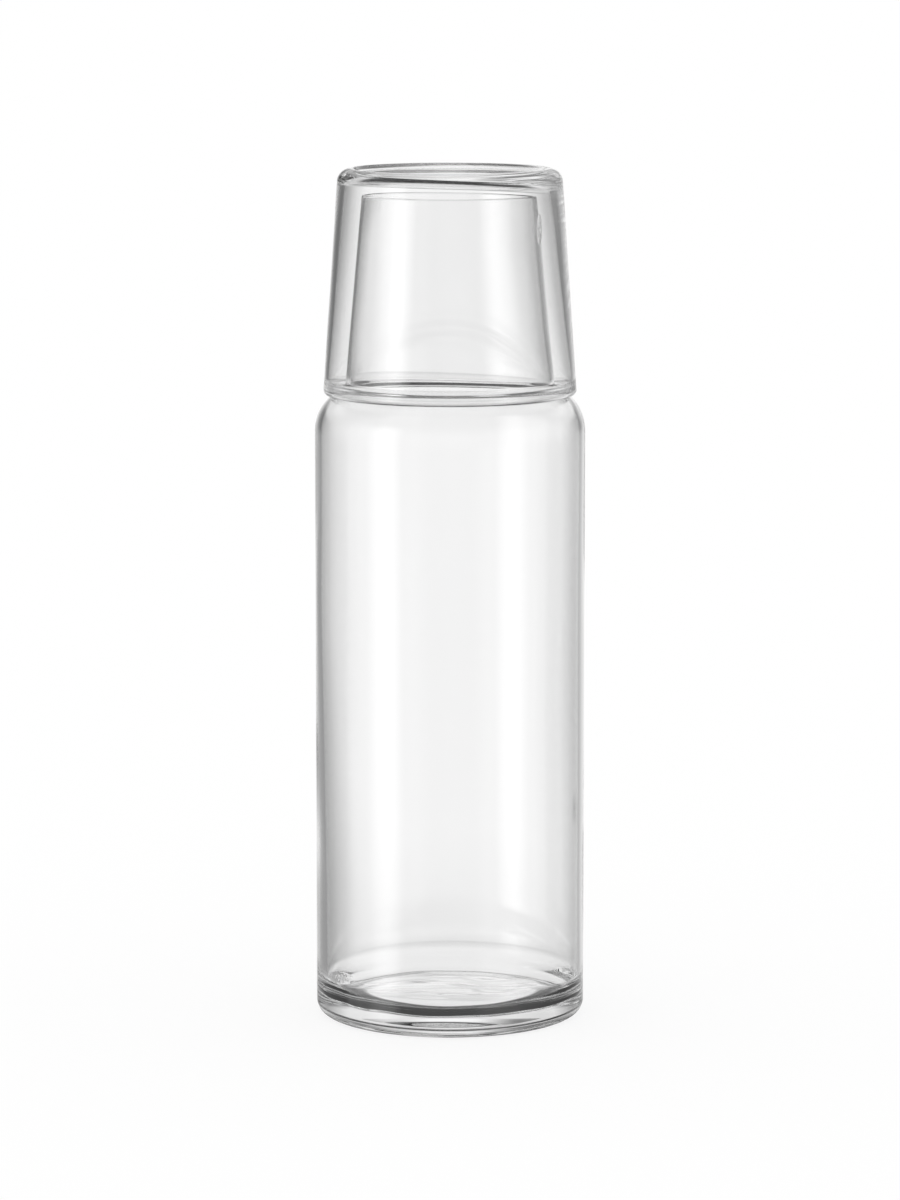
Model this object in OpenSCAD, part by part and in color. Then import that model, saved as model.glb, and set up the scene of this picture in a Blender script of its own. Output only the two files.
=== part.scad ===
// Bedside carafe of clear glass with its drinking tumbler.
// The carafe has a straight round body, a short round shoulder and a tapered neck.
// The tumbler hangs upside down over the neck, and its rim rests on the shoulder.
// Both are bodies of revolution about Z. Lengths are millimetres and angles are degrees.
// The origin is the middle of the face that the carafe stands on.

/* [Carafe body] */
// Outside diameter of the straight body
body_d = 85; // [80:0.5:95]
// Height of the straight side above the table, up to where the shoulder starts
body_h = 186.3; // [150:0.1:230]
// Wall of the upper body
body_wall = 1.9; // [1.5:0.1:2.6]
// Wall at the foot of the body, where the glass has settled thicker
low_wall = 3.1; // [2.4:0.1:5]
// Height up to which the wall is thicker
low_wall_h = 150; // [110:1:150]
// Glass at the edge of the inner floor
base_t = 5.6; // [5:0.1:9]
// Rise of the inner floor from its edge to its middle
floor_crown = 0.8; // [0.2:0.1:1.5]
// Round between the inner wall and the inner floor
inner_corner_r = 8.5; // [5:0.5:11]
// Round of the outer heel
heel_r = 4.5; // [3:0.1:6]
// Width of the flat ring that the carafe stands on
foot_w = 6; // [4:0.5:10]
// Rise of the hollow under the base, at its middle
push_up = 0.6; // [0.3:0.1:2.5]

/* [Carafe neck] */
// Round of the shoulder
shoulder_r = 14.5; // [12:0.1:16]
// Distance of the neck's root inside the side of the body
neck_inset = 9.7; // [8:0.1:12]
// Lean of the neck's side towards the axis
neck_taper = 5.2; // [3:0.1:7]
// Height of the neck above the crown of the shoulder
neck_h = 59.7; // [45:0.1:75]
// Wall of the neck, which ends in a full round at the lip
neck_wall = 1.4; // [1.1:0.1:2.2]
// Hollow round where the neck rises from the shoulder
neck_blend_r = 3; // [1.5:0.1:4]

/* [Tumbler] */
// Distance of the rim's edge inside the side of the body
rim_inset = 2.65; // [1.5:0.05:3.5]
// Thickness of the rounded rim
rim_t = 3.2; // [2.4:0.1:3.6]
// Hollow round that eases the rim into the inner side
rim_blend_r = 3; // [2:0.1:4]
// Lean of the outer side towards the axis
tumbler_taper = 3.87; // [2.5:0.01:4.5]
// Wall next to the rim
rim_wall = 1.2; // [1:0.1:1.6]
// Wall next to the base
base_wall = 3.8; // [2.4:0.1:4.5]
// Glass between the inner floor and the foot ring
tumbler_base_t = 4.2; // [3.4:0.1:6]
// Round between the inner side and the inner floor
tumbler_corner_r = 2.2; // [2:0.1:5]
// Round of the outer edge of the base
tumbler_edge_r = 4.3; // [3:0.1:5.5]
// Width of the flat ring that the tumbler stands on
tumbler_foot_w = 1.5; // [1:0.1:5]
// Depth of the hollow in the base
tumbler_hollow = 1.6; // [0.4:0.1:2]
// Width of the rounded step between the hollow's floor and the flat ring
hollow_step_w = 4.2; // [2:0.1:8]

/* [Seat] */
// Gap left between the rim and the shoulder
seat_gap = 0.3; // [0.2:0.05:0.5]
// Gap between the lip of the carafe and the floor of the tumbler
lip_gap = 3.8; // [2.5:0.05:7]

/* [Hidden] */
$fn = 144;
// Straight steps in one round of an outline, and in one shallow curve
arc_steps = 14;
curve_steps = 12;

body_r = body_d / 2;
shoulder_centre = [body_r - shoulder_r, body_h];
crown_z = body_h + shoulder_r;
lip_z = crown_z + neck_h;

// Points of an arc, from one angle to another
function arc(centre, radius, from, to) =
    [for (i = [0:arc_steps]) centre + radius * direction(from + (to - from) * i / arc_steps)];

// Unit vector at an angle
function direction(angle) = [cos(angle), sin(angle)];

// Angle of the line from one point to another
function bearing(from, to) = atan2(to[1] - from[1], to[0] - from[0]);

// Points of a shallow dome from its crown on the axis out to its edge
function dome(edge_r, rise) =
    [for (i = [0:curve_steps]) let (share = i / curve_steps) [edge_r * share, rise * (1 - share * share)]];

// Points of a flat hollow from the axis out to its edge, with a rounded step of a given width
function recess(edge_r, depth, step_w) =
    concat([[0, depth]], [for (i = [0:curve_steps])
        let (share = i / curve_steps) [edge_r - step_w * (1 - share), depth * (1 + cos(180 * share)) / 2]]);

// Upper centre of a round that touches a slanted side and a circle.
// The side passes through a point at an angle, and "away" points from it to the centre.
function blend_centre(point, side_angle, away, circle_centre, reach) =
    let (
        up = direction(side_angle),
        start = point + away,
        offset = start - circle_centre,
        along = offset * up
    )
    start + (sqrt(along * along - offset * offset + reach * reach) - along) * up;

// Wall of the body at a height: thick below, easing into the upper wall
function wall_at(z) =
    let (share = (z - wall_foot_z) / (low_wall_h - wall_foot_z))
    body_wall + (low_wall - body_wall) * (1 + cos(180 * share)) / 2;

// Carafe outside
heel_centre = [body_r - heel_r, heel_r];
foot_inner_r = body_r - heel_r - foot_w;
neck_root = [body_r - neck_inset, crown_z];
neck_out = direction(neck_taper);
neck_blend = blend_centre(neck_root, 90 + neck_taper, neck_blend_r * neck_out,
                          shoulder_centre, shoulder_r + neck_blend_r);
shoulder_end = bearing(shoulder_centre, neck_blend);

// Lip, a full round on the middle of the neck's wall
lip_r = neck_wall / 2;
lip_rise = neck_h - lip_r + lip_r * sin(neck_taper);
lip_centre = neck_root - lip_r * neck_out + lip_rise * [-tan(neck_taper), 1];

// Carafe inside
inner_shoulder_r = shoulder_r - body_wall;
inner_blend_r = neck_blend_r + neck_wall;
inner_root = neck_root - neck_wall * neck_out;
inner_blend = blend_centre(inner_root, 90 + neck_taper, inner_blend_r * neck_out,
                           shoulder_centre, inner_shoulder_r + inner_blend_r);
inner_shoulder_end = bearing(shoulder_centre, inner_blend);
wall_foot_z = base_t + inner_corner_r;
inner_corner = [body_r - low_wall - inner_corner_r, wall_foot_z];

// Tumbler, measured up from its rim as it hangs
rim_r = rim_t / 2;
rim_edge_r = body_r - rim_inset;
rim_centre = [rim_edge_r - rim_r * (tan(tumbler_taper) + 1 / cos(tumbler_taper)), rim_r];
seat_reach = shoulder_r + seat_gap + rim_r;
seat_offset = rim_centre[0] - shoulder_centre[0];
rim_z = body_h + sqrt(seat_reach * seat_reach - seat_offset * seat_offset) - rim_r;
tumbler_h = lip_z + lip_gap + tumbler_base_t - rim_z;
tumbler_floor = tumbler_h - tumbler_base_t;
tumbler_base_r = rim_edge_r - tumbler_h * tan(tumbler_taper);
inner_rim = [rim_edge_r - rim_wall, 0];
inner_taper = atan((inner_rim[0] - tumbler_base_r + base_wall) / tumbler_h);
rim_blend = blend_centre(inner_rim, 90 + inner_taper, -rim_blend_r * direction(inner_taper),
                         rim_centre, rim_r + rim_blend_r);
rim_end = bearing(rim_centre, rim_blend);
tumbler_corner_z = tumbler_floor - tumbler_corner_r;
tumbler_corner = [inner_rim[0] - tumbler_corner_z * tan(inner_taper) - tumbler_corner_r / cos(inner_taper),
                  tumbler_corner_z];
edge_z = tumbler_h - tumbler_edge_r;
edge_centre = [rim_edge_r - edge_z * tan(tumbler_taper) - tumbler_edge_r / cos(tumbler_taper), edge_z];
tumbler_hollow_r = edge_centre[0] - tumbler_foot_w;

// One blown bottle: hollow base, heel, body, shoulder, neck and lip, then back down inside
module carafe() {
    thick_wall = [for (i = [1:curve_steps - 1])
        let (z = low_wall_h + (wall_foot_z - low_wall_h) * i / curve_steps) [body_r - wall_at(z), z]];
    floor_curve = dome(inner_corner[0], floor_crown);
    outline = concat(
        dome(foot_inner_r, push_up),
        arc(heel_centre, heel_r, -90, 0),
        arc(shoulder_centre, shoulder_r, 0, shoulder_end),
        arc(neck_blend, neck_blend_r, 180 + shoulder_end, 180 + neck_taper),
        arc(lip_centre, lip_r, neck_taper, 180 + neck_taper),
        arc(inner_blend, inner_blend_r, 180 + neck_taper, 180 + inner_shoulder_end),
        arc(shoulder_centre, inner_shoulder_r, inner_shoulder_end, 0),
        [[body_r - body_wall, low_wall_h]],
        thick_wall,
        arc(inner_corner, inner_corner_r, 0, -90),
        [for (i = [curve_steps - 1:-1:0]) floor_curve[i] + [0, base_t]]
    );
    color([0.90, 0.93, 0.92, 0.45])
        rotate_extrude()
            polygon(outline);
}

// One pressed tumbler, rim down: rim, inner side, inner floor, hollow base and outer edge
module tumbler() {
    hollow_curve = recess(tumbler_hollow_r, tumbler_hollow, hollow_step_w);
    outline = concat(
        arc(rim_centre, rim_r, tumbler_taper, rim_end - 360),
        arc(rim_blend, rim_blend_r, rim_end - 180, inner_taper),
        arc(tumbler_corner, tumbler_corner_r, inner_taper, 90),
        [[0, tumbler_floor]],
        [for (point = hollow_curve) [point[0], tumbler_h - point[1]]],
        arc(edge_centre, tumbler_edge_r, 90, tumbler_taper)
    );
    color([0.92, 0.94, 0.93, 0.4])
        translate([0, 0, rim_z])
            rotate_extrude()
                polygon(outline);
}

carafe();
tumbler();
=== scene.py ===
import math

import bpy
import numpy as np
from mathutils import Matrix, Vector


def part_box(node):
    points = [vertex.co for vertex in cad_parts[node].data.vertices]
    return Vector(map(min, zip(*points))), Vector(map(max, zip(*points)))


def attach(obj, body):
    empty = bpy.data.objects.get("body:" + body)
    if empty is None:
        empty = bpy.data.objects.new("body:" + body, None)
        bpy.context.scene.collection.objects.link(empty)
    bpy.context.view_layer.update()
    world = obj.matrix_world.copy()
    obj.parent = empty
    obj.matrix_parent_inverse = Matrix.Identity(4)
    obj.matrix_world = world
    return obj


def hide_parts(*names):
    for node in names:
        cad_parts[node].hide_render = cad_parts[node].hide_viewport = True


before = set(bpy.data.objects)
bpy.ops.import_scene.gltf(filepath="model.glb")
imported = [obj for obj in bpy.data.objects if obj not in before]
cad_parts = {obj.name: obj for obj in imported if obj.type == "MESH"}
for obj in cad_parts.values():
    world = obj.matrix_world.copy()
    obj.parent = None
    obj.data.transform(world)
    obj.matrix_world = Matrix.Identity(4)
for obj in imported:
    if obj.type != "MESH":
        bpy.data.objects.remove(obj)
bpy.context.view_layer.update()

# Lengths are millimetres and angles are degrees, as on a glassmaker's drawing.
MM = 0.001

# Driving sizes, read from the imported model
CARAFE_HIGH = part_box("carafe")[1] / MM
TUMBLER_LOW, TUMBLER_HIGH = (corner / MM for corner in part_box("tumbler"))
BODY_R = CARAFE_HIGH.x
LIP_Z = CARAFE_HIGH.z
RIM_Z = TUMBLER_LOW.z
TUMBLER_H = TUMBLER_HIGH.z - RIM_Z

# Carafe: neck and shoulder
NECK_H = 59.7  # above the crown of the shoulder
NECK_TAPER = 5.2  # lean of its side towards the axis
NECK_WALL = 1.2
NECK_INSET = 9.7  # from the side of the body in to the neck's root
NECK_BLEND_R = 3.0  # hollow round at the root
SHOULDER_R = 14.5
CROWN_Z = LIP_Z - NECK_H
SHOULDER_CENTRE = np.array([BODY_R - SHOULDER_R, CROWN_Z - SHOULDER_R])

# Carafe: body and base
BODY_WALL = 1.9
LOW_WALL = 2.5  # at the foot, where the glass has settled thicker
LOW_WALL_H = 150.0  # height up to which it is thicker
INNER_CORNER_R = 8.5  # between the inner wall and the inner floor
BASE_T = 5.6  # glass at the edge of the inner floor
WALL_FOOT_Z = BASE_T + INNER_CORNER_R
FLOOR_CROWN = 0.8  # rise of the inner floor to its middle
HEEL_R = 4.5
FOOT_W = 6.0  # flat ring that the carafe stands on
PUSH_UP = 0.6  # rise of the hollow inside that ring

# Tumbler, rim down as it hangs on the shoulder
RIM_INSET = 2.65  # from the side of the body in to the rim's edge
RIM_EDGE_R = BODY_R - RIM_INSET
RIM_T = 3.2
RIM_BLEND_R = 3.0  # eases the rim into the inner side
RIM_WALL = 1.1
BASE_WALL = 3.5
TUMBLER_TAPER = 3.87  # lean of the outer side towards the axis
TUMBLER_BASE_T = 4.2  # glass between the inner floor and the foot ring
TUMBLER_CORNER_R = 2.2  # between the inner side and the inner floor
TUMBLER_EDGE_R = 4.3  # outer edge of the base
TUMBLER_FOOT_W = 0.6  # flat ring that the upright tumbler stands on
TUMBLER_HOLLOW = 1.6  # depth of the hollow inside that ring
HOLLOW_STEP = 1.5  # width of its rounded step

# Uneven flow of the glass: the insides are off the middle, out of level and a little wavy
CAVITY_SHIFT = 0.6  # carafe's cavity at the foot, to the right
NECK_SHIFT = -0.35  # and in the neck
NECK_EASE = 0.3, 0.25  # shares of the neck over which that comes in and goes out
CAVITY_LEAN = -0.6  # tumbler's cavity at its floor, to the right
FLOOR_TILT = 0.025  # fall of the tumbler's floor to the right, for each millimetre
FLOOR_FALL = 0.045  # and to the back
FLOOR_EASE = 0.7, 0.9  # shares of the tumbler's height over which the fall comes in
WALL_WAVE = 0.02  # height of the waves round both walls
# Each wave: how many to a turn, its climb in millimetres for each radian, its start and its share
CARAFE_WAVES = [(3, 23, 1, 1.0), (5, -17, 0, 0.7), (2, 9, 0, 0.5)]
TUMBLER_WAVES = [(3, 15, 2, 1.0), (4, -11, 0, 0.6)]
WAVES_IN, WAVES_OUT = (0.1, 0.3), (0.8, 0.95)  # shares of the tumbler's height where they come in and go out
FLOOR_WAVE = 0.07  # height of the ripples on the carafe's floor
CALM_R, RIPPLED_R = 4.0, 12.0  # calm middle of the floor, and where the ripples are full
# Ripples along x and along y: their length for each radian, the size and length of their bends, and their start
RIPPLES = [(3.1, 1.2, 6, 0), (2.3, 1.5, 8, 2)]

# Mesh steps
ROUND_STEP = 5.0  # degrees in a round of an outline
ROUND_LEAST = 6  # fewest steps in a round
RUN_STEP = 2.5  # millimetres along a straight stretch
DOME_STEP = RUN_STEP / 2
LEDGE_POINTS = 17  # points down the step of the tumbler's hollow
TURN_STEPS = 288  # parts of a turn
SAME_POINT = 1e-6


def direction(angle):
    return np.array([math.cos(math.radians(angle)), math.sin(math.radians(angle))])


def bearing(start, end):
    return math.degrees(math.atan2(end[1] - start[1], end[0] - start[0]))


def tan(angle):
    return math.tan(math.radians(angle))


def cos(angle):
    return math.cos(math.radians(angle))


def falling(share):
    """From 1 down to 0 along half a wave, level at both ends."""
    return (1 + cos(180 * share)) / 2


def arc(centre, radius, start, end):
    """Points of a round of the outline, from one angle to another."""
    steps = max(ROUND_LEAST, math.ceil(abs(end - start) / ROUND_STEP))
    return [centre + radius * direction(start + (end - start) * i / steps) for i in range(steps + 1)]


def run(start, end):
    """Points between two ends of a straight stretch, without the ends."""
    start, end = np.asarray(start, float), np.asarray(end, float)
    steps = max(1, math.ceil(np.linalg.norm(end - start) / RUN_STEP))
    return [start + (end - start) * i / steps for i in range(1, steps)]


def dome(edge_r, rise, foot_z):
    """Points of a shallow dome, from its crown on the axis to an edge that runs out flat."""
    steps = math.ceil(edge_r / DOME_STEP)
    return [np.array([edge_r * i / steps, foot_z + rise * falling(i / steps)]) for i in range(steps + 1)]


def recess(edge_r, depth, step_w, foot_z):
    """Points of a flat hollow, from the axis out over its rounded step."""
    floor_r = edge_r - step_w
    floor = [np.array([r, foot_z - depth]) for r in np.arange(0, floor_r, RUN_STEP)]
    shares = np.linspace(0, 1, LEDGE_POINTS)
    return floor + [np.array([floor_r + step_w * share, foot_z - depth * falling(share)]) for share in shares]


def blend_centre(point, side_angle, away, circle_centre, reach):
    """Centre of a round that touches a slanted side and a circle."""
    up = direction(side_angle)
    start = point + away
    offset = start - circle_centre
    along = offset @ up
    return start + (math.sqrt(along * along - offset @ offset + reach * reach) - along) * up


def joined(*stretches):
    """One outline of rounds, with straight runs filled in between them."""
    outline = list(stretches[0])
    for stretch in stretches[1:]:
        outline += run(outline[-1], stretch[0]) + list(stretch)
    kept = [outline[0]]
    for point in outline[1:]:
        if np.linalg.norm(point - kept[-1]) > SAME_POINT:
            kept.append(point)
    return kept


def carafe_outline():
    """Outside from the hollow base up to the lip, and inside from the lip down to the floor."""
    heel_centre = np.array([BODY_R - HEEL_R, HEEL_R])
    neck_root = np.array([BODY_R - NECK_INSET, CROWN_Z])
    neck_out = direction(NECK_TAPER)
    neck_side = 90 + NECK_TAPER
    neck_blend = blend_centre(neck_root, neck_side, NECK_BLEND_R * neck_out,
                              SHOULDER_CENTRE, SHOULDER_R + NECK_BLEND_R)
    shoulder_end = bearing(SHOULDER_CENTRE, neck_blend)
    lip_r = NECK_WALL / 2
    lip_rise = NECK_H - lip_r + lip_r * neck_out[1]
    lip_centre = neck_root - lip_r * neck_out + lip_rise * np.array([-tan(NECK_TAPER), 1])
    outside = joined(
        dome(BODY_R - HEEL_R - FOOT_W, PUSH_UP, 0),
        arc(heel_centre, HEEL_R, -90, 0),
        arc(SHOULDER_CENTRE, SHOULDER_R, 0, shoulder_end),
        arc(neck_blend, NECK_BLEND_R, 180 + shoulder_end, 180 + NECK_TAPER),
        arc(lip_centre, lip_r, NECK_TAPER, 90),
    )
    inner_shoulder_r = SHOULDER_R - BODY_WALL
    inner_blend_r = NECK_BLEND_R + NECK_WALL
    inner_blend = blend_centre(neck_root - NECK_WALL * neck_out, neck_side, inner_blend_r * neck_out,
                               SHOULDER_CENTRE, inner_shoulder_r + inner_blend_r)
    inner_shoulder_end = bearing(SHOULDER_CENTRE, inner_blend)
    inner_corner = np.array([BODY_R - LOW_WALL - INNER_CORNER_R, WALL_FOOT_Z])
    steps = math.ceil((LOW_WALL_H - WALL_FOOT_Z) / RUN_STEP)
    thick_wall = []
    for i in range(steps + 1):
        share = 1 - i / steps
        wall = BODY_WALL + (LOW_WALL - BODY_WALL) * falling(share)
        thick_wall.append(np.array([BODY_R - wall, WALL_FOOT_Z + (LOW_WALL_H - WALL_FOOT_Z) * share]))
    inside = joined(
        arc(lip_centre, lip_r, 90, 180 + NECK_TAPER),
        arc(inner_blend, inner_blend_r, 180 + NECK_TAPER, 180 + inner_shoulder_end),
        arc(SHOULDER_CENTRE, inner_shoulder_r, inner_shoulder_end, 0),
        thick_wall,
        arc(inner_corner, INNER_CORNER_R, 0, -90),
        dome(inner_corner[0], FLOOR_CROWN, BASE_T)[::-1],
    )
    return outside, inside


def tumbler_outline():
    """Outside from the hollow base down to the rim, and inside from the rim up to the floor."""
    rim_r = RIM_T / 2
    rim_centre = np.array([RIM_EDGE_R - rim_r * (tan(TUMBLER_TAPER) + 1 / cos(TUMBLER_TAPER)), rim_r])
    floor_z = TUMBLER_H - TUMBLER_BASE_T
    base_r = RIM_EDGE_R - TUMBLER_H * tan(TUMBLER_TAPER)
    inner_rim = np.array([RIM_EDGE_R - RIM_WALL, 0])
    inner_taper = math.degrees(math.atan((inner_rim[0] - base_r + BASE_WALL) / TUMBLER_H))
    rim_blend = blend_centre(inner_rim, 90 + inner_taper, -RIM_BLEND_R * direction(inner_taper),
                             rim_centre, rim_r + RIM_BLEND_R)
    rim_end = bearing(rim_centre, rim_blend)
    corner_z = floor_z - TUMBLER_CORNER_R
    corner_r = inner_rim[0] - corner_z * tan(inner_taper) - TUMBLER_CORNER_R / cos(inner_taper)
    edge_z = TUMBLER_H - TUMBLER_EDGE_R
    edge_r = RIM_EDGE_R - edge_z * tan(TUMBLER_TAPER) - TUMBLER_EDGE_R / cos(TUMBLER_TAPER)
    outside = joined(
        recess(edge_r - TUMBLER_FOOT_W, TUMBLER_HOLLOW, HOLLOW_STEP, TUMBLER_H),
        arc(np.array([edge_r, edge_z]), TUMBLER_EDGE_R, 90, TUMBLER_TAPER),
        arc(rim_centre, rim_r, TUMBLER_TAPER, -90),
    )
    inside = joined(
        arc(rim_centre, rim_r, -90, rim_end - 360),
        arc(rim_blend, RIM_BLEND_R, rim_end - 180, inner_taper),
        arc(np.array([corner_r, corner_z]), TUMBLER_CORNER_R, inner_taper, 90),
        [np.array([0, floor_z])],
    )
    raised = np.array([0, RIM_Z])
    return [point + raised for point in outside], [point + raised for point in inside]


def turned(name, outline, flow):
    """A closed, smooth mesh of revolution. Its inside is then moved by the uneven flow of the glass."""
    outside, inside = outline
    profile = np.array(outside + inside[1:])
    angles = np.arange(TURN_STEPS) * 2 * math.pi / TURN_STEPS
    rings = profile[1:-1]
    radius = rings[:, :1] * np.ones_like(angles)
    height = rings[:, 1:] * np.ones_like(angles)
    points = np.stack([radius * np.cos(angles), radius * np.sin(angles), height], axis=-1).reshape(-1, 3)
    poles = [[0, 0, profile[0][1]], [0, 0, profile[-1][1]]]
    points = np.vstack([points, poles])
    count = len(rings)
    first_pole, last_pole = count * TURN_STEPS, count * TURN_STEPS + 1
    within = np.r_[len(outside) * TURN_STEPS:first_pole, last_pole]
    points[within] += flow(points[within])
    faces = []
    for j in range(TURN_STEPS):
        k = (j + 1) % TURN_STEPS
        faces.append((first_pole, k, j))
        for i in range(count - 1):
            ring, following = i * TURN_STEPS, (i + 1) * TURN_STEPS
            faces.append((ring + j, ring + k, following + k, following + j))
        last_ring = (count - 1) * TURN_STEPS
        faces.append((last_pole, last_ring + j, last_ring + k))
    if np.sum(profile[:-1, 0] * profile[1:, 1] - profile[1:, 0] * profile[:-1, 1]) < 0:
        faces = [face[::-1] for face in faces]
    mesh = bpy.data.meshes.new(name)
    mesh.from_pydata((points * MM).tolist(), [], faces)
    mesh.shade_smooth()
    piece = bpy.data.objects.new(name, mesh)
    bpy.context.collection.objects.link(piece)
    return piece


def eased(value, start, end):
    """0 before the start and 1 after the end, easing between them."""
    share = np.clip((value - start) / (end - start), 0, 1)
    return share * share * (3 - 2 * share)


def waved(points, waves, side):
    """How far slow waves move the points of a wall in and out."""
    x, y, z = points.T
    turn = np.arctan2(y, x)
    wave = sum(share * np.sin(count * turn + z / climb + start) for count, climb, start, share in waves)
    out = WALL_WAVE * wave * side
    return np.stack([out * np.cos(turn), out * np.sin(turn), np.zeros_like(z)], axis=-1)


def carafe_flow(points):
    """Cavity off the middle in the foot and in the neck, slow waves up the wall, and ripples on the floor."""
    x, y, z = points.T
    foot = 1 - eased(z, BASE_T, LOW_WALL_H)
    neck = eased(z, CROWN_Z, CROWN_Z + NECK_EASE[0] * NECK_H)
    neck *= 1 - eased(z, LIP_Z - NECK_EASE[1] * NECK_H, LIP_Z - NECK_WALL)
    side = eased(z, WALL_FOOT_Z, WALL_FOOT_Z + 2 * INNER_CORNER_R)
    side *= 1 - eased(z, CROWN_Z - SHOULDER_R, CROWN_Z)
    floor = 1 - eased(z, BASE_T + FLOOR_CROWN, WALL_FOOT_Z)
    floor *= eased(np.hypot(x, y), CALM_R, RIPPLED_R)
    ripple = np.zeros_like(z)
    for along, across, (length, bend, bend_length, start) in zip((x, y), (y, x), RIPPLES):
        ripple += np.sin(along / length + bend * np.sin(across / bend_length) + start)
    moved = waved(points, CARAFE_WAVES, side)
    moved[:, 0] += CAVITY_SHIFT * foot + NECK_SHIFT * neck
    moved[:, 2] += FLOOR_WAVE * ripple * floor
    return moved


def tumbler_flow(points):
    """Cavity that leans to one side, floor a little out of level, and slow waves up the side."""
    x, y, z = points.T
    share = (z - RIM_Z) / TUMBLER_H
    moved = waved(points, TUMBLER_WAVES, eased(share, *WAVES_IN) * (1 - eased(share, *WAVES_OUT)))
    moved[:, 0] += CAVITY_LEAN * share
    moved[:, 2] -= (FLOOR_TILT * x + FLOOR_FALL * y) * eased(share, *FLOOR_EASE)
    return moved


def linear(hex_colour):
    """An sRGB hex colour as linear RGBA."""
    channels = [int(hex_colour[i:i + 2], 16) / 255 for i in (1, 3, 5)]
    return [c / 12.92 if c <= 0.04045 else ((c + 0.055) / 1.055) ** 2.4 for c in channels] + [1.0]


def add(tree, kind, inputs=(), stops=(), **settings):
    """Adds one node with its settings and grey stops, and sets or links its inputs."""
    made = tree.nodes.new(kind)
    for i, (position, level) in enumerate(stops):
        stop = made.color_ramp.elements[i] if i < 2 else made.color_ramp.elements.new(position)
        stop.position = position
        stop.color = (level, level, level, 1)
    for name, value in settings.items():
        setattr(made, name, value)
    for socket, value in dict(inputs).items():
        if isinstance(value, bpy.types.NodeSocket):
            tree.links.new(value, made.inputs[socket])
        else:
            made.inputs[socket].default_value = value
    return made


# Soda-lime glass: its bending of light, and its colour where it flowed thin and thick
GLASS_IOR = 1.52
THIN_GLASS = linear("#ffffff")
THICK_GLASS = linear("#fdfdfd")
WHITE = linear("#ffffff")
# Flow lines in the glass, four times as tall as they are wide
FLOW_W = 18.0
FLOW_STRETCH = 0.25
FLOW_DEPTH = 0.02
# Wear on its skin. Real wear is finer, and this is as coarse as it needs to be to show.
WEAR_W = 3.0
WEAR_SPAN = 0.4, 0.8
WEAR_ROUGHNESS = 0.012
# Mould marks and scuffs: middle and reach of each, the part of the reach that is full, and their grain
CARAFE_MARKS = [((41.5, 6, 64), (3, 5, 8)), ((41, 8, 16), (4, 6, 6)), ((-34, -25, 16), (6, 6, 1.8))]
TUMBLER_MARKS = [((27.5, -23.5, 251), (0.8, 3, 5))]
MARK_CORE = 0.3
MARK_W = 1.0
MARK_DEPTH = 0.15


def clear_glass(name, marks):
    """Soda-lime glass, fire polished: clear and neutral with a clean gloss. Drawn-out flow lines bend
    what shows through it a little, fine wear takes the edge off reflections, and a few marks sparkle."""
    material = bpy.data.materials.new(name)
    material.use_nodes = True
    tree = material.node_tree
    tree.nodes.clear()
    place = add(tree, "ShaderNodeTexCoord").outputs["Object"]
    drawn = add(tree, "ShaderNodeMapping", {"Vector": place, "Scale": (1, 1, FLOW_STRETCH)}).outputs[0]
    flow = add(tree, "ShaderNodeTexNoise", {
        "Vector": drawn, "Scale": 1 / (FLOW_W * MM), "Detail": 1.0}).outputs[0]
    wear = add(tree, "ShaderNodeTexNoise", {
        "Vector": place, "Scale": 1 / (WEAR_W * MM), "Detail": 3.0}).outputs[0]
    grain = add(tree, "ShaderNodeTexNoise", {
        "Vector": place, "Scale": 1 / (MARK_W * MM), "Detail": 2.0}).outputs[0]
    marked = 0.0
    for middle, reach in marks:
        offset = add(tree, "ShaderNodeVectorMath", {
            0: place, 1: [v * MM for v in middle]}, operation="SUBTRACT").outputs[0]
        offset = add(tree, "ShaderNodeVectorMath", {
            0: offset, 1: [v * MM for v in reach]}, operation="DIVIDE").outputs[0]
        away = add(tree, "ShaderNodeVectorMath", {0: offset}, operation="LENGTH").outputs["Value"]
        near = add(tree, "ShaderNodeMapRange", {
            "Value": away, "From Min": 1.0, "From Max": MARK_CORE}).outputs[0]
        marked = add(tree, "ShaderNodeMath", {0: near, 1: marked}, operation="MAXIMUM").outputs[0]
    raised = add(tree, "ShaderNodeMath", {0: grain, 1: marked}, operation="MULTIPLY").outputs[0]
    skin = add(tree, "ShaderNodeBump", {"Height": flow, "Distance": FLOW_DEPTH * MM}).outputs[0]
    skin = add(tree, "ShaderNodeBump", {
        "Height": raised, "Distance": MARK_DEPTH * MM, "Normal": skin}).outputs[0]
    # The colour sockets of this node are known by number, because they share names with its others
    colour = add(tree, "ShaderNodeMix", {0: flow, 6: THIN_GLASS, 7: THICK_GLASS}, data_type="RGBA").outputs[2]
    roughness = add(tree, "ShaderNodeMapRange", {
        "Value": wear, "From Min": WEAR_SPAN[0], "From Max": WEAR_SPAN[1], "To Max": WEAR_ROUGHNESS}).outputs[0]
    surface = add(tree, "ShaderNodeBsdfPrincipled", {
        "Base Color": colour, "Roughness": roughness, "Normal": skin,
        "IOR": GLASS_IOR, "Transmission Weight": 1.0})
    add(tree, "ShaderNodeOutputMaterial", {"Surface": surface.outputs["BSDF"]})
    return material


carafe = turned("carafe_glass", carafe_outline(), carafe_flow)
carafe.data.materials.append(clear_glass("blown soda-lime glass", CARAFE_MARKS))
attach(carafe, "carafe")
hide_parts("carafe")

tumbler = turned("tumbler_glass", tumbler_outline(), tumbler_flow)
tumbler.data.materials.append(clear_glass("pressed soda-lime glass", TUMBLER_MARKS))
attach(tumbler, "tumbler")
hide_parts("tumbler")

# White studio, as the glass shows it. Levels all round, by the angle above the horizon:
# a white table straight below, and a dark ceiling that draws the dark lines in the glass
AMBIENT = [(-90, 0.7), (-74, 0.7), (-66, 0.05), (-28, 0.05), (-16, 0), (20, 0), (40, 0.05), (90, 0.05)]
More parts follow.
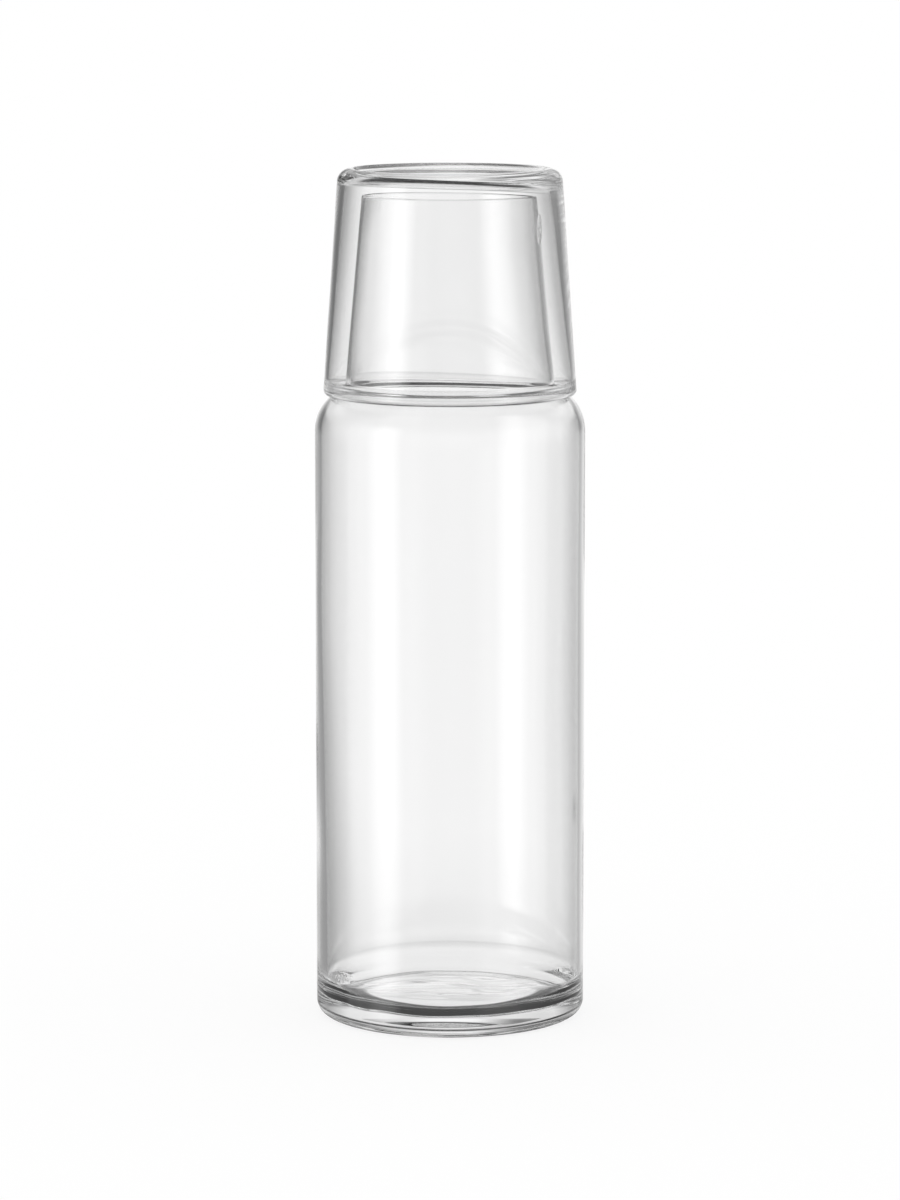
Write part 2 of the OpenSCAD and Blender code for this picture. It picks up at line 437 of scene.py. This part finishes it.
# Each panel has levels by the angle round from straight behind, positive to the right, levels by the
# angle above the horizon, and a strength. White paper straight behind:
BACKDROP = ([(-180, 0), (-20, 0), (-6, 1), (6, 1), (14, 0.6), (30, 0), (180, 0)],
            [(-90, 0), (-22, 0), (-14, 0.75), (-11.5, 1), (3, 1), (9, 0.3), (20, 0), (90, 0)], 1.0)
# Grey sides of the studio below the horizon, with white gaps to the left and to the front right
LOWER_SIDES = ([(-180, 0.5), (-110, 0.45), (-102, 0.4), (-96, 0.8), (-84, 0.8), (-78, 0.15), (-65, 0.2),
                (-45, 0.35), (-30, 0.35), (-20, 0.35), (-14, 0.2), (-6, 0), (8, 0), (20, 0.4), (35, 0.55),
                (50, 0.35), (62, 0.15), (90, 0.25), (115, 0.6), (122, 0.95), (148, 0.95), (160, 0.55),
                (180, 0.5)],
               [(-90, 0), (-28, 0), (-14, 0.9), (-7, 0.9), (-2, 0), (90, 0)], 1.0)
# And above it
UPPER_SIDES = ([(-180, 0.65), (-150, 0.5), (-102, 0.42), (-96, 0.75), (-84, 0.75), (-78, 0.4), (-70, 0.4),
                (-45, 0.25), (-32, 0.15), (-20, 0.2), (-8, 0), (8, 0), (20, 0.2), (45, 0.25), (60, 0.4),
                (75, 0.6), (145, 0.7), (150, 0.6), (180, 0.65)],
               [(-90, 0), (-7, 0), (-2, 1), (15, 1), (40, 0), (90, 0)], 1.0)
# Table, lit behind the object and to the front right
LIT_TABLE = ([(-180, 0.08), (-75, 0.08), (-45, 0.9), (45, 0.9), (75, 0.08), (112, 0.08), (124, 0.5),
              (146, 0.5), (158, 0.08), (180, 0.08)],
             [(-90, 0.3), (-80, 0.6), (-68, 1), (-22, 1), (-14, 0), (90, 0)], 1.0)
# Pale paper that hangs over the backdrop
CANOPY = ([(-180, 0), (-60, 0), (-40, 0.6), (40, 0.6), (60, 0), (180, 0)],
          [(-90, 0), (8, 0), (12, 1), (26, 1), (34, 0), (90, 0)], 1.0)
# Soft box to the front left, which draws the bright stripes
SOFT_BOX = ([(-180, 0), (-138, 0), (-132, 0.5), (-125, 0.9), (-119, 1), (-112, 0.8), (-104, 0.4), (-90, 0),
             (180, 0)],
            [(-90, 0), (-30, 0), (-22, 1), (20, 1), (35, 0), (90, 0)], 1.6)
PANELS = BACKDROP, LOWER_SIDES, UPPER_SIDES, LIT_TABLE, CANOPY, SOFT_BOX
HALF_TURN = 180
UPRIGHT = 90

# Table top: its reach, the share of its white that no shadow dims, and a painted shadow under the carafe's
# foot: a dark ring that only the glass shows, with its level, two radii, soft edge and fade to the back
TABLE_REACH = 30000.0
TABLE_GLOW = 0.85
PAINTED_SHADOW_LEVEL = 0.05
PAINTED_SHADOW_IN, PAINTED_SHADOW_OUT = 28.0, 42.0
PAINTED_SHADOW_EDGE = 1.0
PAINTED_SHADOW_FADE = 0.0, 15.0


def spread(levels, limit):
    """Angles of a list of levels as shares of the span from minus the limit to the limit."""
    return [((angle + limit) / (2 * limit), level) for angle, level in levels]


def seen_in_glass(tree):
    """1 for what shows through or in the glass, and 0 for what the camera sees past it."""
    path = add(tree, "ShaderNodeLightPath").outputs
    return add(tree, "ShaderNodeMath", {
        0: path["Is Glossy Ray"], 1: path["Is Transmission Ray"]}, operation="MAXIMUM").outputs[0]


def studio():
    """Plain white light and backdrop, with the panels of the studio where the glass shows them."""
    world = bpy.data.worlds.new("white studio")
    bpy.context.scene.world = world
    world.use_nodes = True
    tree = world.node_tree
    tree.nodes.clear()
    place = add(tree, "ShaderNodeTexCoord").outputs["Generated"]
    ray = add(tree, "ShaderNodeSeparateXYZ", {"Vector": place}).outputs
    turn = add(tree, "ShaderNodeMath", {0: ray["X"], 1: ray["Y"]}, operation="ARCTAN2").outputs[0]
    turn = add(tree, "ShaderNodeMapRange", {
        "Value": turn, "From Min": -math.pi, "From Max": math.pi}).outputs[0]
    rise = add(tree, "ShaderNodeMath", {0: ray["Z"]}, operation="ARCSINE").outputs[0]
    rise = add(tree, "ShaderNodeMapRange", {
        "Value": rise, "From Min": -math.pi / 2, "From Max": math.pi / 2}).outputs[0]
    level = add(tree, "ShaderNodeValToRGB", {"Fac": rise}, spread(AMBIENT, UPRIGHT)).outputs[0]
    for levels_round, levels_up, strength in PANELS:
        across = add(tree, "ShaderNodeValToRGB", {"Fac": turn}, spread(levels_round, HALF_TURN)).outputs[0]
        above = add(tree, "ShaderNodeValToRGB", {"Fac": rise}, spread(levels_up, UPRIGHT)).outputs[0]
        panel = add(tree, "ShaderNodeMath", {0: across, 1: above}, operation="MULTIPLY").outputs[0]
        level = add(tree, "ShaderNodeMath", {
            0: panel, 1: strength, 2: level}, operation="MULTIPLY_ADD").outputs[0]
    level = add(tree, "ShaderNodeMix", {
        "Factor": seen_in_glass(tree), "A": 1.0, "B": level}, data_type="FLOAT").outputs["Result"]
    light = add(tree, "ShaderNodeBackground", {"Color": WHITE, "Strength": level})
    add(tree, "ShaderNodeOutputWorld", {"Surface": light.outputs[0]})


def table_top():
    """White table that takes the object's shadow. The glass shows the studio through it, and a painted shadow:
    a dark ring under the carafe's foot.
    """
    mesh = bpy.data.meshes.new("table")
    reach = TABLE_REACH * MM
    corners = [(-reach, -reach, 0), (reach, -reach, 0), (reach, reach, 0), (-reach, reach, 0)]
    mesh.from_pydata(corners, [], [(0, 1, 2, 3)])
    table = bpy.data.objects.new("table", mesh)
    bpy.context.collection.objects.link(table)
    material = bpy.data.materials.new("white table")
    material.use_nodes = True
    tree = material.node_tree
    tree.nodes.clear()
    paint = add(tree, "ShaderNodeBsdfDiffuse", {"Color": WHITE})
    glow = add(tree, "ShaderNodeEmission", {"Color": WHITE, "Strength": 1.0})
    white = add(tree, "ShaderNodeMixShader", {"Fac": TABLE_GLOW, 1: paint.outputs[0], 2: glow.outputs[0]})
    place = add(tree, "ShaderNodeNewGeometry").outputs["Position"]
    away = add(tree, "ShaderNodeVectorMath", {0: place}, operation="LENGTH").outputs["Value"]
    depth = add(tree, "ShaderNodeSeparateXYZ", {"Vector": place}).outputs["Y"]
    # Share of the table that the painted shadow ring leaves clear: outside and inside its radii, and towards
    # the back
    unshadowed_share = 0.0
    for distance, dark, clear in ((away, PAINTED_SHADOW_OUT - PAINTED_SHADOW_EDGE, PAINTED_SHADOW_OUT + PAINTED_SHADOW_EDGE),
                                  (away, PAINTED_SHADOW_IN + PAINTED_SHADOW_EDGE, PAINTED_SHADOW_IN - PAINTED_SHADOW_EDGE), (depth, *PAINTED_SHADOW_FADE)):
        fade = add(tree, "ShaderNodeMapRange", {
            "Value": distance, "From Min": dark * MM, "From Max": clear * MM}).outputs[0]
        unshadowed_share = add(tree, "ShaderNodeMath", {0: fade, 1: unshadowed_share}, operation="MAXIMUM").outputs[0]
    # Painted shadow under the carafe's foot: a dim glowing ring that only the glass shows
    ring = add(tree, "ShaderNodeEmission", {"Color": WHITE, "Strength": PAINTED_SHADOW_LEVEL})
    clear_air = add(tree, "ShaderNodeBsdfTransparent")
    below = add(tree, "ShaderNodeMixShader", {"Fac": unshadowed_share, 1: ring.outputs[0], 2: clear_air.outputs[0]})
    shown = add(tree, "ShaderNodeMixShader", {
        "Fac": seen_in_glass(tree), 1: white.outputs[0], 2: below.outputs[0]})
    add(tree, "ShaderNodeOutputMaterial", {"Surface": shown.outputs[0]})
    mesh.materials.append(material)


studio()
table_top()

# Camera, from the photograph's outline: a long lens a little above the object, tipped down
EYE = 0.0, -1550.0, 357.5
PITCH = 8.264
LENS = 148.75
SENSOR = 36.0
FAR_CLIP = 100.0  # metres, past the end of the table
# Walls of clear glass that a ray may pass
BOUNCES = 40

camera_data = bpy.data.cameras.new("camera")
camera_data.lens = LENS
camera_data.sensor_width = SENSOR
camera_data.clip_end = FAR_CLIP
camera = bpy.data.objects.new("camera", camera_data)
camera.location = [v * MM for v in EYE]
camera.rotation_euler = (math.radians(90 - PITCH), 0, 0)
bpy.context.collection.objects.link(camera)
scene = bpy.context.scene
scene.camera = camera
scene.view_settings.view_transform = "Standard"
scene.cycles.max_bounces = BOUNCES
scene.cycles.transmission_bounces = BOUNCES
scene.cycles.glossy_bounces = BOUNCES
